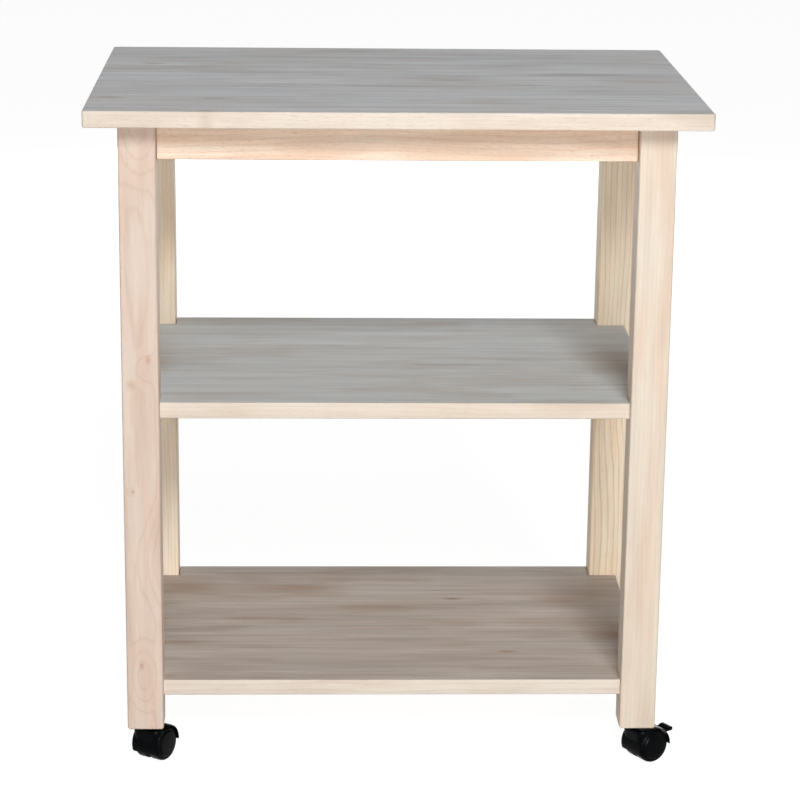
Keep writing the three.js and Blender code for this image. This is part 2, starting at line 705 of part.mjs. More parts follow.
for (const { name, side, end, angle, brake } of casters) {
  const caster = new THREE.Group();
  caster.position.set(side * legX, end * legY, 0);
  caster.rotation.z = radians(angle);
  cart.add(caster);
  add(caster, `stem_socket_${name}`, socket, blackNylon);
  add(caster, `caster_stem_${name}`, stem, zincSteel);
  add(caster, `caster_hood_${name}`, brake === 'none' ? plainHood : brakedHood, blackNylon);
  add(caster, `axle_${name}`, axle, zincSteel);
  for (const [hand, way] of [['left', 1], ['right', -1]]) {
    const turnedWheel = add(caster, `wheel_${hand}_${name}`, wheel, blackNylon);
    turnedWheel.position.set(trail, way * wheelInner, axleHeight);
    turnedWheel.rotation.x = -way * Math.PI / 2;
  }
  if (brake !== 'none') {
    const lift = brake === 'locked' ? 0 : leverTravel;
    add(caster, `brake_lever_${name}`, leverGeometry(lift), blackNylon);
  }
}

export default cart;
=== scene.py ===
"""A microwave cart of bare rubberwood on four black nylon casters, dressed and lit for a studio view."""

import json
import math

import bmesh
import bpy
from mathutils import Matrix, Vector


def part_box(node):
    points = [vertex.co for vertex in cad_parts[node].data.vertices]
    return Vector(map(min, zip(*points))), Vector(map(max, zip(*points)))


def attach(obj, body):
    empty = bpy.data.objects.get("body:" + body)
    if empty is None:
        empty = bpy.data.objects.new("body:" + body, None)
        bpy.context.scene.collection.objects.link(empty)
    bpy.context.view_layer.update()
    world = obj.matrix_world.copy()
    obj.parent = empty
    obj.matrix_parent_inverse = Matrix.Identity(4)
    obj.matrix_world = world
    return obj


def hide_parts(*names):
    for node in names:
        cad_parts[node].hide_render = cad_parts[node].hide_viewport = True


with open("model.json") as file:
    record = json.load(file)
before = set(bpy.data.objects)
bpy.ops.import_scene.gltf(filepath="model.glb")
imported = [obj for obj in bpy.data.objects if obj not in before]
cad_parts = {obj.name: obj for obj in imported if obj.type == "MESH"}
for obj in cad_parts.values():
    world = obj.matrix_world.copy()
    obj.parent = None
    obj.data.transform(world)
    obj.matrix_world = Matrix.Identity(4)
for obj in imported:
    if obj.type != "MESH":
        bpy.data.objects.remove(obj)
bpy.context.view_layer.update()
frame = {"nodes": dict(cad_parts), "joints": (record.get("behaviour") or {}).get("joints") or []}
nodes = frame["nodes"]
joints = {joint["name"]: joint for joint in frame["joints"]}

MM = 0.001
CORNERS = ("front_left", "front_right", "rear_left", "rear_right")


# ---- Camera --------------------------------------------------------------------------------

CAMERA_AT = (-0.0903, -2.9586, 1.2086)   # m
CAMERA_YAW = math.radians(-1.97)      # anticlockwise from +Y, seen from above
CAMERA_PITCH = math.radians(15.71)    # downwards
CAMERA_ROLL = math.radians(0.66)
FOCAL_LENGTH = 119.1                  # mm
SENSOR_WIDTH = 36                     # mm
FARTHEST = 50                         # m, past everything in the scene


def make_camera():
    """The camera that the photo was taken with, as fitted to the outlines in it."""
    data = bpy.data.cameras.new("camera")
    data.lens = FOCAL_LENGTH
    data.sensor_width = SENSOR_WIDTH
    data.clip_end = FARTHEST
    camera = bpy.data.objects.new("camera", data)
    bpy.context.scene.collection.objects.link(camera)
    forward = Vector((
        -math.sin(CAMERA_YAW) * math.cos(CAMERA_PITCH),
        math.cos(CAMERA_YAW) * math.cos(CAMERA_PITCH),
        -math.sin(CAMERA_PITCH),
    ))
    level = Vector((math.cos(CAMERA_YAW), math.sin(CAMERA_YAW), 0))
    upward = level.cross(forward)
    right = math.cos(CAMERA_ROLL) * level + math.sin(CAMERA_ROLL) * upward
    up = -math.sin(CAMERA_ROLL) * level + math.cos(CAMERA_ROLL) * upward
    turn = Matrix((right, up, -forward)).transposed().to_4x4()
    camera.matrix_world = Matrix.Translation(CAMERA_AT) @ turn
    bpy.context.scene.camera = camera


make_camera()


# ---- Colours and nodes ---------------------------------------------------------------------

def linear(hex_colour):
    """An sRGB hex colour as linear RGBA."""
    channels = [int(hex_colour[i:i + 2], 16) / 255 for i in (1, 3, 5)]
    return [c / 12.92 if c <= 0.04045 else ((c + 0.055) / 1.055) ** 2.4 for c in channels] + [1]


def add(tree, kind, inputs=None, out=0, **settings):
    """Add one node with its settings, set or link its inputs, and return one of its outputs."""
    new = tree.nodes.new(kind)
    for name, value in settings.items():
        setattr(new, name, value)
    for name, value in (inputs or {}).items():
        if isinstance(value, bpy.types.NodeSocket):
            tree.links.new(value, new.inputs[name])
        else:
            new.inputs[name].default_value = value
    return new.outputs[out] if len(new.outputs) else None


def new_material(name):
    """A material with an empty node tree."""
    material = bpy.data.materials.new(name)
    material.use_nodes = True
    material.node_tree.nodes.clear()
    return material, material.node_tree


# ---- Rubberwood ----------------------------------------------------------------------------

# Bare rubberwood, planed and sanded: pale cream to pink, with short brown pore marks, faint
# growth rings and soft streaks. It is nearly matt, with a weak sheen at a low angle.
WOOD_IOR = 1.5
WOOD_ROUGHNESS = 0.62
GRAIN_HEIGHT = 0.3        # mm that the finest streaks stand up
GRAIN_STRENGTH = 0.12

# Length and width, in mm, of what is drawn along the grain.
FIBRE = (45, 1.1)         # the finest streaks
STREAK = (170, 9)         # streaks of lighter and darker wood
TINGE = (160, 14)         # streaks of a warmer tone
CLOUD = (150, 40)         # patches of a browner tone
PORE = (7, 0.9)           # drawn a little wider than real vessels so that they show
SWAY = (230, 55)          # how the growth rings wander along the board
RIPPLE = (38, 7)          # and how they ripple on the way
RIPPLE_DEPTH = 1.6        # mm

# Where each of these starts and where it is complete.
RING_LINE = (0.3, 0.5)    # the darker late wood, where 0.5 is the end of a ring
TINGE_START, TINGE_FULL = 0.42, 0.66
CLOUD_START, CLOUD_FULL = 0.50, 0.70
PORE_START, PORE_FULL = 0.60, 0.76
DARK_STREAK, LIGHT_STREAK = 0.25, 0.75
# Between these, the painted side light gives way to the colour of the upper face.
SIDE_FACE, UPPER_FACE = 0.4, 0.9      # the upward part of a face's normal

# How much darker and lighter the finest streaks and whole staves are.
FIBRE_DARK, FIBRE_LIGHT = 0.93, 1.07
STAVE_DARK, STAVE_LIGHT = 0.965, 1.03
STAVE_STEP = 7.31         # from the noise of one stave to that of the next
STAVE_SWAY = 0.010        # m by which the joints between staves are off an even spacing
STAVE_WAVES = 37.0        # radians per m that this changes across a board


def streaks(tree, place, size, seed, detail=2.0):
    """Noise drawn out along the grain into streaks of about this length and width in mm."""
    length, width = size
    stretch = (1 / (length * MM), 1 / (width * MM), 1 / (width * MM))
    stretched = add(tree, "ShaderNodeVectorMath", {0: place, 1: stretch}, operation="MULTIPLY")
    return add(
        tree, "ShaderNodeTexNoise", {"Vector": stretched, "W": seed, "Scale": 1.0, "Detail": detail},
        out="Fac", noise_dimensions="4D",
    )


def stave_number(tree, across, width, seed):
    """Which glued stave a point is in. Its width varies, because the place across is swayed first."""
    wave = add(tree, "ShaderNodeMath", {0: across, 1: STAVE_WAVES, 2: seed}, operation="MULTIPLY_ADD")
    sway = add(tree, "ShaderNodeMath", {0: wave}, operation="SINE")
    swayed = add(tree, "ShaderNodeMath", {0: sway, 1: STAVE_SWAY, 2: across}, operation="MULTIPLY_ADD")
    scaled = add(tree, "ShaderNodeMath", {0: swayed, 1: 1 / (width * MM), 2: seed}, operation="MULTIPLY_ADD")
    return add(tree, "ShaderNodeMath", {0: scaled}, operation="FLOOR")


def knot_swell(tree, place, along, across, size, stretch):
    """How near a point is to a knot, 1 at its heart and 0 outside the grain that it bends."""
    centre = (along * MM, across * MM, 0.0)
    scale = (1 / (size * stretch * MM), 1 / (size * MM), 0.0)
    offset = add(tree, "ShaderNodeVectorMath", {0: place, 1: centre}, operation="SUBTRACT")
    scaled = add(tree, "ShaderNodeVectorMath", {0: offset, 1: scale}, operation="MULTIPLY")
    reach = add(tree, "ShaderNodeVectorMath", {0: scaled}, out="Value", operation="LENGTH")
    return add(
        tree, "ShaderNodeMapRange", {"Value": reach, "From Min": 1.0, "From Max": 0.0},
        interpolation_type="SMOOTHSTEP",
    )


def rubberwood(name, along, tones, seed, stave=None, pith=(60, -90), ring_spacing=4.5, ring_strength=0.15,
               wander=14, swing=0.12, tinge=0.3, cloud=0.2, pores=0.1, knots=(), marks=(), painted_side_light=None):
    """Rubberwood with its grain along one axis.

    The tones are pale, warm, brown and pore. A stave is the usual width, in mm, of the strips that
    a board is glued up from. The pith, where the growth rings have their centre, is given in mm
    across and through the board. The rings wander by up to that many mm. The swing is how much
    lighter and darker streaks are. Tinge, cloud and pores are the strengths of the warm streaks,
    the browner patches and the pore marks. A knot is (along, across, size, stretch, rings), where
    the sizes are in mm and the rings are how many growth rings it pushes aside. A mark is a
    browner patch, of the wood itself or painted shade, given as (along, across, size, stretch,
    strength). The painted side light is what the colour is multiplied by on every side but the
    upper face: painted light that makes the edges and undersides warmer or lighter than the
    greyer upper face.
    """
    pale, warm, brown, dark = [linear(c) for c in tones]
    material, tree = new_material(name)
    object_place = add(tree, "ShaderNodeTexCoord", out="Object")
    parts = tree.nodes.new("ShaderNodeSeparateXYZ")
    tree.links.new(object_place, parts.inputs[0])
    x, y, z = parts.outputs
    length, across, through = {"x": (x, y, z), "y": (y, x, z), "z": (z, x, y)}[along]
    place = add(tree, "ShaderNodeCombineXYZ", {0: length, 1: across, 2: through})
    board_seed = float(seed)
    if stave:
        number = stave_number(tree, across, stave, seed)
        board_seed = add(
            tree, "ShaderNodeMath", {0: number, 1: STAVE_STEP, 2: float(seed)}, operation="MULTIPLY_ADD",
        )

    # Growth rings round the pith, which wander along the grain and swell round each knot.
    beside = add(tree, "ShaderNodeMath", {0: across, 1: pith[0] * MM}, operation="SUBTRACT")
    behind = add(tree, "ShaderNodeMath", {0: through, 1: pith[1] * MM}, operation="SUBTRACT")
    reach = add(tree, "ShaderNodeCombineXYZ", {0: beside, 1: behind})
    radius = add(tree, "ShaderNodeVectorMath", {0: reach}, out="Value", operation="LENGTH")
    for size, depth in ((SWAY, wander), (RIPPLE, RIPPLE_DEPTH)):
        wave = streaks(tree, place, size, board_seed, detail=1.0)
        radius = add(tree, "ShaderNodeMath", {0: wave, 1: depth * MM, 2: radius}, operation="MULTIPLY_ADD")
    for *where, rings in knots:
        swell = knot_swell(tree, place, *where)
        push = rings * ring_spacing * MM
        radius = add(tree, "ShaderNodeMath", {0: swell, 1: push, 2: radius}, operation="MULTIPLY_ADD")
    turns = add(tree, "ShaderNodeMath", {0: radius, 1: 1 / (ring_spacing * MM)}, operation="MULTIPLY")
    fold = add(tree, "ShaderNodeMath", {0: turns, 1: 0.5}, operation="PINGPONG")
    ring = add(
        tree, "ShaderNodeMapRange",
        {"Value": fold, "From Min": RING_LINE[0], "From Max": RING_LINE[1], "To Max": ring_strength},
        interpolation_type="SMOOTHSTEP",
    )

    # Warm streaks, browner patches, short pores, and streaks of lighter and darker wood.
    warmth = add(
        tree, "ShaderNodeMapRange",
        {"Value": streaks(tree, place, TINGE, board_seed),
         "From Min": TINGE_START, "From Max": TINGE_FULL, "To Max": tinge},
        interpolation_type="SMOOTHSTEP",
    )
    patch = add(
        tree, "ShaderNodeMapRange",
        {"Value": streaks(tree, place, CLOUD, float(seed)),
         "From Min": CLOUD_START, "From Max": CLOUD_FULL, "To Max": cloud},
        interpolation_type="SMOOTHSTEP",
    )
    pore = add(
        tree, "ShaderNodeMapRange",
        {"Value": streaks(tree, place, PORE, board_seed, detail=0.0),
         "From Min": PORE_START, "From Max": PORE_FULL, "To Max": pores},
    )
    colour = add(tree, "ShaderNodeMix", {0: warmth, 6: pale, 7: warm}, out=2, data_type="RGBA")
    for amount, tone in ((patch, brown), (ring, brown), (pore, dark)):
        colour = add(tree, "ShaderNodeMix", {0: amount, 6: colour, 7: tone}, out=2, data_type="RGBA")
    # Marks: browner patches of the wood, and on the middle shelf painted shade too.
    for *where, strength in marks:
        amount = add(
            tree, "ShaderNodeMath", {0: knot_swell(tree, place, *where), 1: strength}, operation="MULTIPLY",
        )
        colour = add(tree, "ShaderNodeMix", {0: amount, 6: colour, 7: brown}, out=2, data_type="RGBA")
    fibre = streaks(tree, place, FIBRE, board_seed)
    shade = add(tree, "ShaderNodeMapRange", {"Value": fibre, "To Min": FIBRE_DARK, "To Max": FIBRE_LIGHT})
    colour = add(tree, "ShaderNodeVectorMath", {0: colour, "Scale": shade}, operation="SCALE")
    fibre_colour = colour
    broad = streaks(tree, place, STREAK, board_seed, detail=3.0)
    lightness = add(tree, "ShaderNodeMapRange", {
        "Value": broad, "From Min": DARK_STREAK, "From Max": LIGHT_STREAK,
        "To Min": 1 - swing, "To Max": 1 + swing,
    })
    colour = add(tree, "ShaderNodeVectorMath", {0: colour, "Scale": lightness}, operation="SCALE")
    if stave:
        lot = add(tree, "ShaderNodeTexWhiteNoise", {"W": number}, out="Value", noise_dimensions="1D")
        lightness = add(
            tree, "ShaderNodeMapRange", {"Value": lot, "To Min": STAVE_DARK, "To Max": STAVE_LIGHT},
        )
        colour = add(tree, "ShaderNodeVectorMath", {0: colour, "Scale": lightness}, operation="SCALE")
    # Painted light: every side but the upper face is multiplied by the painted side light, so it is warmer or
    # lighter than the greyer upper face.
    if painted_side_light:
        facing = add(tree, "ShaderNodeNewGeometry", out="Normal")
        upwards = add(
            tree, "ShaderNodeVectorMath", {0: facing, 1: (0, 0, 1)}, out="Value", operation="DOT_PRODUCT",
        )
        on_top = add(
            tree, "ShaderNodeMapRange", {"Value": upwards, "From Min": SIDE_FACE, "From Max": UPPER_FACE},
        )
        side_lit_colour = add(tree, "ShaderNodeVectorMath", {0: fibre_colour, 1: painted_side_light}, operation="MULTIPLY")
        colour = add(tree, "ShaderNodeMix", {0: on_top, 6: side_lit_colour, 7: colour}, out=2, data_type="RGBA")

    bump = add(
        tree, "ShaderNodeBump",
        {"Height": fibre, "Strength": GRAIN_STRENGTH, "Distance": GRAIN_HEIGHT * MM}, out="Normal",
    )
    surface = add(tree, "ShaderNodeBsdfPrincipled", {
        "Base Color": colour, "Roughness": WOOD_ROUGHNESS, "IOR": WOOD_IOR, "Normal": bump,
    })
    add(tree, "ShaderNodeOutputMaterial", {"Surface": surface})
    return material


# Tones of each board: pale, warm, brown and pore. The greyer tones of the top and the middle shelf are
# painted light, for the cool light from above on their upper faces, and the bottom shelf's darker ones are
# painted shade from the shelves over it. The rear legs are toned paler, painted light that makes up for the
# shade that the front legs cast on them.
TOP_TONES = ("#DFDEDD", "#CDC0B4", "#AEA092", "#8F7A65")
MIDDLE_TONES = ("#D6D9D8", "#C6BCB0", "#B3A08C", "#8A7864")
BOTTOM_TONES = ("#C8BBAF", "#B8A292", "#9F7F65", "#7D6753")
FRONT_LEFT_TONES = ("#D4C1B2", "#D1B09C", "#B48B70", "#8F7059")
FRONT_RIGHT_TONES = ("#DBCDBC", "#D8BAA2", "#BF9C7C", "#9B8469")
REAR_LEFT_TONES = ("#FFF0DA", "#FADAB2", "#DCB183", "#B4956F")
REAR_RIGHT_TONES = ("#FFEED3", "#FFDEB8", "#CBA074", "#A98662")
APRON_TONES = ("#EFD9C4", "#E3BC9C", "#C4936C", "#B07253")
DOWEL_TONES = ("#E6CFAE", "#D8BB93", "#C4A276", "#A4835C")

# Painted light: tints of the edges and undersides of the boards, which are warmer or lighter than their
# greyer upper faces, in the way that the lamps light them.
TOP_PAINTED_SIDE_LIGHT = (0.996, 0.865, 0.737)
MIDDLE_PAINTED_SIDE_LIGHT = (1.08, 0.91, 0.77)
BOTTOM_PAINTED_SIDE_LIGHT = (1.26, 1.29, 1.28)

# The arches, eyes and knots of the front left leg, where height runs along it and x across.
FRONT_LEFT_KNOTS = (
    (745, -276, 34, 3.6, 5.0), (466, -272, 20, 1.4, 1.6), (250, -248, 46, 1.9, 3.2),
    (112, -277, 21, 2.8, 3.0), (327, -286, 8, 1.5, 1.0),
)
FRONT_LEFT_MARKS = (
    (476, -267, 5, 1.6, 0.7), (448, -286, 8, 1.2, 0.5), (327, -286, 3, 1.5, 0.8), (124, -279, 4, 2, 0.7),
)

# Browner patches and flecks, where x runs along the board and y across.
TOP_MARKS = (
    (-307, -144, 7, 3.5, 0.9), (-194, -147, 7, 4.0, 1.0), (-275, 100, 7, 3.0, 1.0),
    (-202, -228, 9, 1.6, 0.6), (63, -12, 10, 6.0, 0.7), (139, -45, 8, 7.0, 0.7), (225, 31, 12, 6.0, 0.6),
)
# On the middle shelf, the two wide patches at its ends are painted shade of the legs beside them, and the
# last is a browner patch of the wood.
MIDDLE_MARKS_AND_SHADE = ((272, -30, 85, 0.9, 0.6), (-280, -20, 80, 0.6, 0.6), (120, -95, 14, 6.0, 0.3))
BOTTOM_MARKS = (
    (-245, 110, 52, 1.3, 0.6), (-239, 118, 22, 2.0, 0.5), (-150, 108, 40, 3.4, 0.5),
    (-96, 112, 18, 4.0, 0.6), (-167, 5, 12, 4.0, 0.6), (-244, -74, 14, 4.0, 0.6),
    (230, 95, 60, 1.4, 0.4), (213, 70, 18, 3.0, 0.6), (265, -50, 34, 1.6, 0.8),
    (80, 72, 6, 3.0, 1.0), (135, -105, 6, 3.0, 0.8), (20, 45, 26, 7.0, 0.4),
)

# The figure of each board, by the name of its node.
wood = {
    "top_panel": rubberwood(
        "rubberwood_top", "x", TOP_TONES, 1, stave=48, swing=0.2, tinge=0.4, cloud=0.3, pores=0.2,
        marks=TOP_MARKS, painted_side_light=TOP_PAINTED_SIDE_LIGHT,
    ),
    "middle_shelf": rubberwood(
        "rubberwood_middle_shelf", "x", MIDDLE_TONES, 5, stave=52, cloud=0.3, marks=MIDDLE_MARKS_AND_SHADE,
        painted_side_light=MIDDLE_PAINTED_SIDE_LIGHT,
    ),
    "bottom_shelf": rubberwood(
        "rubberwood_bottom_shelf", "x", BOTTOM_TONES, 9, stave=50, swing=0.2, tinge=0.5, cloud=0.4,
        marks=BOTTOM_MARKS, painted_side_light=BOTTOM_PAINTED_SIDE_LIGHT,
    ),
    "leg_front_left": rubberwood(
        "rubberwood_leg_front_left", "z", FRONT_LEFT_TONES, 20, pith=(-277, -140), wander=10,
        ring_spacing=3.0, ring_strength=0.2, swing=0.07, tinge=0.5, knots=FRONT_LEFT_KNOTS,
        marks=FRONT_LEFT_MARKS,
    ),
    "leg_front_right": rubberwood(
        "rubberwood_leg_front_right", "z", FRONT_RIGHT_TONES, 27, pith=(150, -150), swing=0.07, tinge=0.5,
    ),
    "leg_rear_left": rubberwood(
        "rubberwood_leg_rear_left", "z", REAR_LEFT_TONES, 22, pith=(-150, 100), ring_strength=0.25,
        swing=0.14, cloud=0.3,
    ),
    "leg_rear_right": rubberwood(
        "rubberwood_leg_rear_right", "z", REAR_RIGHT_TONES, 23, pith=(150, 140), wander=22,
        ring_spacing=6.4, ring_strength=0.36, swing=0.12, tinge=0.4,
    ),
}
# The aprons along each axis, with the first of their seeds and the place of their pith.
APRONS = (("x", ("front", "rear"), 40, (-300, 640)), ("y", ("left", "right"), 50, (-200, 640)))
for axis, sides, first_seed, pith in APRONS:
    for number, side in enumerate(sides):
        wood[f"apron_{side}"] = rubberwood(
            f"rubberwood_apron_{side}", axis, APRON_TONES, first_seed + number, pith=pith,
            ring_spacing=3.6, ring_strength=0.2, wander=12, tinge=0.5, pores=0.3,
        )
dowel_wood = rubberwood("hardwood_dowel", "x", DOWEL_TONES, 60)


# ---- Nylon and steel -----------------------------------------------------------------------

NYLON_IOR = 1.53
NYLON_SHEEN = 0.03        # a fine grain from the mould leaves little of the usual reflection
NYLON_GRAIN = 0.6         # mm
NYLON_GRAIN_DEPTH = 0.1   # mm
NYLON_GRAIN_STRENGTH = 0.08
NYLON_SPREAD = 0.05       # how much its roughness varies either way
ZINC_CLOUD = 5            # mm
ZINC_BRIGHT, ZINC_DULL = 0.25, 0.4    # its roughness where it is brightest and dullest


def moulded_nylon(name, hex_colour, roughness):
    """Injection-moulded nylon, dyed through, with a fine grain from its mould."""
    material, tree = new_material(name)
    place = add(tree, "ShaderNodeTexCoord", out="Object")
    grain = add(
        tree, "ShaderNodeTexNoise", {"Vector": place, "Scale": 1 / (NYLON_GRAIN * MM), "Detail": 2.0},
        out="Fac",
    )
    bump = add(
        tree, "ShaderNodeBump",
        {"Height": grain, "Strength": NYLON_GRAIN_STRENGTH, "Distance": NYLON_GRAIN_DEPTH * MM},
        out="Normal",
    )
    rough = add(
        tree, "ShaderNodeMapRange",
        {"Value": grain, "To Min": roughness - NYLON_SPREAD, "To Max": roughness + NYLON_SPREAD},
    )
    surface = add(tree, "ShaderNodeBsdfPrincipled", {
        "Base Color": linear(hex_colour), "Roughness": rough, "IOR": NYLON_IOR,
        "Specular IOR Level": NYLON_SHEEN, "Normal": bump,
    })
    add(tree, "ShaderNodeOutputMaterial", {"Surface": surface})
    return material


def zinc_plated_steel(name):
    """Bright zinc plating on steel, with faint cloudy variation from the bath."""
    material, tree = new_material(name)
    place = add(tree, "ShaderNodeTexCoord", out="Object")
    cloud = add(
        tree, "ShaderNodeTexNoise", {"Vector": place, "Scale": 1 / (ZINC_CLOUD * MM), "Detail": 3.0},
        out="Fac",
    )
    colour = add(
        tree, "ShaderNodeMix", {0: cloud, 6: linear("#C9CCD0"), 7: linear("#AEB2B8")},
        out=2, data_type="RGBA",
    )
    rough = add(tree, "ShaderNodeMapRange", {"Value": cloud, "To Min": ZINC_BRIGHT, "To Max": ZINC_DULL})
    surface = add(tree, "ShaderNodeBsdfPrincipled", {
        "Base Color": colour, "Metallic": 1.0, "Roughness": rough,
    })
    add(tree, "ShaderNodeOutputMaterial", {"Surface": surface})
    return material


black_nylon = moulded_nylon("black_nylon", "#030405", roughness=0.25)
zinc_steel = zinc_plated_steel("zinc_plated_steel")

for name, node in nodes.items():
    node.data.materials.clear()
    if "dowel" in name:
        node.data.materials.append(dowel_wood)
    elif name.startswith(("caster_hood", "wheel", "brake_lever", "stem_socket")):
        node.data.materials.append(black_nylon)
    else:
        node.data.materials.append(wood.get(name, zinc_steel))


# ---- Making meshes -------------------------------------------------------------------------

# Turned and moulded pieces are drawn in millimetres, and brought to metres when they are done.
ROUND = 96                        # facets round a turned piece
CREASE = math.radians(40)         # edges sharper than this stay crisp
WELD = 0.001                      # corners nearer than this are one


def mesh_from(shape, name):
    """A mesh from a finished bmesh, shaded smooth between its crisp edges."""
    bmesh.ops.remove_doubles(shape, verts=shape.verts, dist=WELD)
    bmesh.ops.recalc_face_normals(shape, faces=shape.faces)
    mesh = bpy.data.meshes.new(name)
    shape.to_mesh(mesh)
    shape.free()
    mesh.shade_smooth()
    mesh.set_sharp_from_angle(angle=CREASE)
    return mesh


def lathe(name, profile, facets=ROUND):
    """A solid of revolution about Z, from (radius, height) corners that start and end on the
    axis, or else close on themselves."""
    shape = bmesh.new()
    rings = []
    for radius, height in profile:
        turns = [math.tau * i / facets for i in range(facets if radius > 0 else 1)]
        rings.append([shape.verts.new((radius * math.cos(a), radius * math.sin(a), height)) for a in turns])
    if profile[0][0] > 0:
        rings.append(rings[0])
    for one, other in zip(rings, rings[1:]):
        for i in range(facets):
            j = i + 1
            corners = (one[i % len(one)], one[j % len(one)], other[j % len(other)], other[i % len(other)])
            shape.faces.new(list(dict.fromkeys(corners)))
    return mesh_from(shape, name)


def loft(name, rings):
    """A closed skin through rings of points, with a flat face at each end."""
    shape = bmesh.new()
    rows = [[shape.verts.new(point) for point in ring] for ring in rings]
    for one, other in zip(rows, rows[1:]):
        for i in range(len(one)):
            j = (i + 1) % len(one)
            shape.faces.new((one[i], one[j], other[j], other[i]))
    shape.faces.new(rows[0])
    shape.faces.new(rows[-1])
    return mesh_from(shape, name)


def prism(name, outline, width):
    """The side view of a piece, in x and z, given its width along Y."""
    return loft(name, [[(x, y, z) for x, z in outline] for y in (-width / 2, width / 2)])


def eased(corners, size, steps=4):
    """A line of corners with each inner corner rounded by a short curve."""
    points = [Vector(corners[0])]
    for before, corner, after in zip(corners, corners[1:], corners[2:]):
        corner = Vector(corner)
        back = Vector(before) - corner
        on = Vector(after) - corner
        start = corner + back.normalized() * min(size, back.length / 2)
        end = corner + on.normalized() * min(size, on.length / 2)
        for step in range(steps + 1):
            t = step / steps
            points.append(start.lerp(corner, t).lerp(corner.lerp(end, t), t))
    points.append(Vector(corners[-1]))
    return points


def arc(centre, radius, start, end, steps=24):
    """Points on an arc, in degrees, in the side view."""
    angles = [math.radians(start + (end - start) * i / steps) for i in range(steps + 1)]
    return [(centre[0] + radius * math.cos(a), centre[1] + radius * math.sin(a)) for a in angles]


def new_object(mesh):
    """A piece of the scene that shows this mesh."""
    piece = bpy.data.objects.new(mesh.name, mesh)
    bpy.context.scene.collection.objects.link(piece)
    return piece


def applied(piece):
    """The mesh of a piece with its modifiers applied. The piece itself goes."""
    mesh = bpy.data.meshes.new_from_object(piece.evaluated_get(bpy.context.evaluated_depsgraph_get()))
    mesh.name = piece.name
    bpy.data.objects.remove(piece)
    return mesh


def combined(mesh, *steps):
    """A solid after a list of (operation, other solid) steps."""
    whole = new_object(mesh)
    tools = []
    for operation, other in steps:
        tools.append(new_object(other))
        modifier = whole.modifiers.new(operation, "BOOLEAN")
        modifier.operation = operation
        modifier.solver = "EXACT"
        modifier.object = tools[-1]
    bpy.context.view_layer.update()
    result = applied(whole)
    for tool in tools:
        bpy.data.objects.remove(tool)
    return result


SMOOTHING = 0.5                   # of the way to the mean of the corners around


def softened(mesh, voxel, rounds):
    """A solid with every edge rounded a little, as it comes from a mould or a casting."""
    piece = new_object(mesh)
    remesh = piece.modifiers.new("voxels", "REMESH")
    remesh.mode = "VOXEL"
    remesh.voxel_size = voxel
    smooth = piece.modifiers.new("smooth", "SMOOTH")
    smooth.factor = SMOOTHING
    smooth.iterations = rounds
    bpy.context.view_layer.update()
    result = applied(piece)
    result.shade_smooth()
    return result


def finished(mesh, matrix, node, body, material):
    """Put a finished mesh in the place of a CAD node."""
    mesh.materials.clear()
    mesh.materials.append(material)
    piece = bpy.data.objects.new(f"{node}_finished", mesh)
    bpy.context.scene.collection.objects.link(piece)
    piece.matrix_world = matrix
    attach(piece, body)
    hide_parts(node)


def metres(mesh):
    """The mesh itself, brought from millimetres to metres."""
    mesh.transform(Matrix.Scale(MM, 4))
    return mesh


# ---- Boards and legs -----------------------------------------------------------------------

CAD_WELD = 0.01 * MM              # in metres, as the CAD nodes are
CAD_CREASE = math.radians(60)


def sanded(name):
    """A copy of a CAD node whose eased arrises are shaded as soft rounds."""
    shape = bmesh.new()
    shape.from_mesh(nodes[name].data)
    bmesh.ops.remove_doubles(shape, verts=shape.verts, dist=CAD_WELD)
    mesh = bpy.data.meshes.new(f"{name}_sanded")
    shape.to_mesh(mesh)
    shape.free()
    mesh.shade_smooth()
    mesh.set_sharp_from_angle(angle=CAD_CREASE)
    piece = new_object(mesh)
    piece.modifiers.new("weighted", "WEIGHTED_NORMAL").keep_sharp = True
    bpy.context.view_layer.update()
    return applied(piece)


for name, material in wood.items():
    finished(sanded(name), Matrix.Identity(4), name, "cart", material)


# ---- Casters -------------------------------------------------------------------------------

# The sizes of the CAD part, in mm. The swivel axis is Z and the trail points along X. Angles are in
# degrees, from the trail's direction upwards.
AXLE_HEIGHT = joints["front_left_left_wheel_spin"]["pos_m"][2] / MM
LEG_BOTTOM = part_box("leg_front_left")[0][2] / MM
TRAIL = 17                        # from the swivel axis to the axle
AXLE = (TRAIL, AXLE_HEIGHT)
AXLE_HOLE = 2.8
HALF_AXLE = 6
PAST = 1                          # how far a cutting solid runs past what it cuts

TREAD_WIDTH = 13.4
TREAD_INNER = 3.2                 # from the middle of the caster to a wheel
SHOULDER_ROUND = 4.6              # rounded outer edge of a tread, across the wheel
SHOULDER_DROP = 3.8               # and towards its axle
WHEEL_HUB = 6
CUP_RADIUS = 16                   # of the hollow in the inner side
CUP_DEPTH = 8
AXLE_IN_WHEEL = 11.3
GROOVE_INNER = 15.6               # radii of the groove round the disc
GROOVE_OUTER = 15.9
GROOVE_DEPTH = 0.5
DISC_FACE = 13.8                  # radius where the disc's sloping rim ends
DISC_RISE = 1.1
DISC_DOME = 1.3
WHEEL_EASE = 0.5

FENDER_RADIUS = 20.6
HOOD_RADIUS = 22.1
HOOD_WIDTH = 35.8
HOOD_TOP = AXLE_HEIGHT + HOOD_RADIUS
HOOD_SIDE_ROUND = 4               # the rounding towards each side, across the caster
HOOD_SIDE_DROP = 1.1              # and towards the axle
HOOD_FRONT_END = 202              # where the cover ends at the front and at the back
HOOD_REAR_END = 357
HOOD_HUB = 5.5
WEB_HALF = 2.8
WEB_END = 1.3                     # from the axle back to the end of a braked caster's web
NOSE_ROUND = 8.5                  # its corners, seen from above
NOSE_EDGE = 2.6                   # the rounding of its upper edge, seen from above
NOSE_EDGE_DROP = 5                # and seen from the side
SLOT_INNER = 20                   # radii of the slot for the lever's heel
SLOT_OUTER = 26
SLOT_END = 55
SLOT_GAP = 0.4
NECK_HALF = 1                     # half the height of the neck that carries the journal
NECK_OVERLAP = 0.6
JOURNAL_RADIUS = 2.2

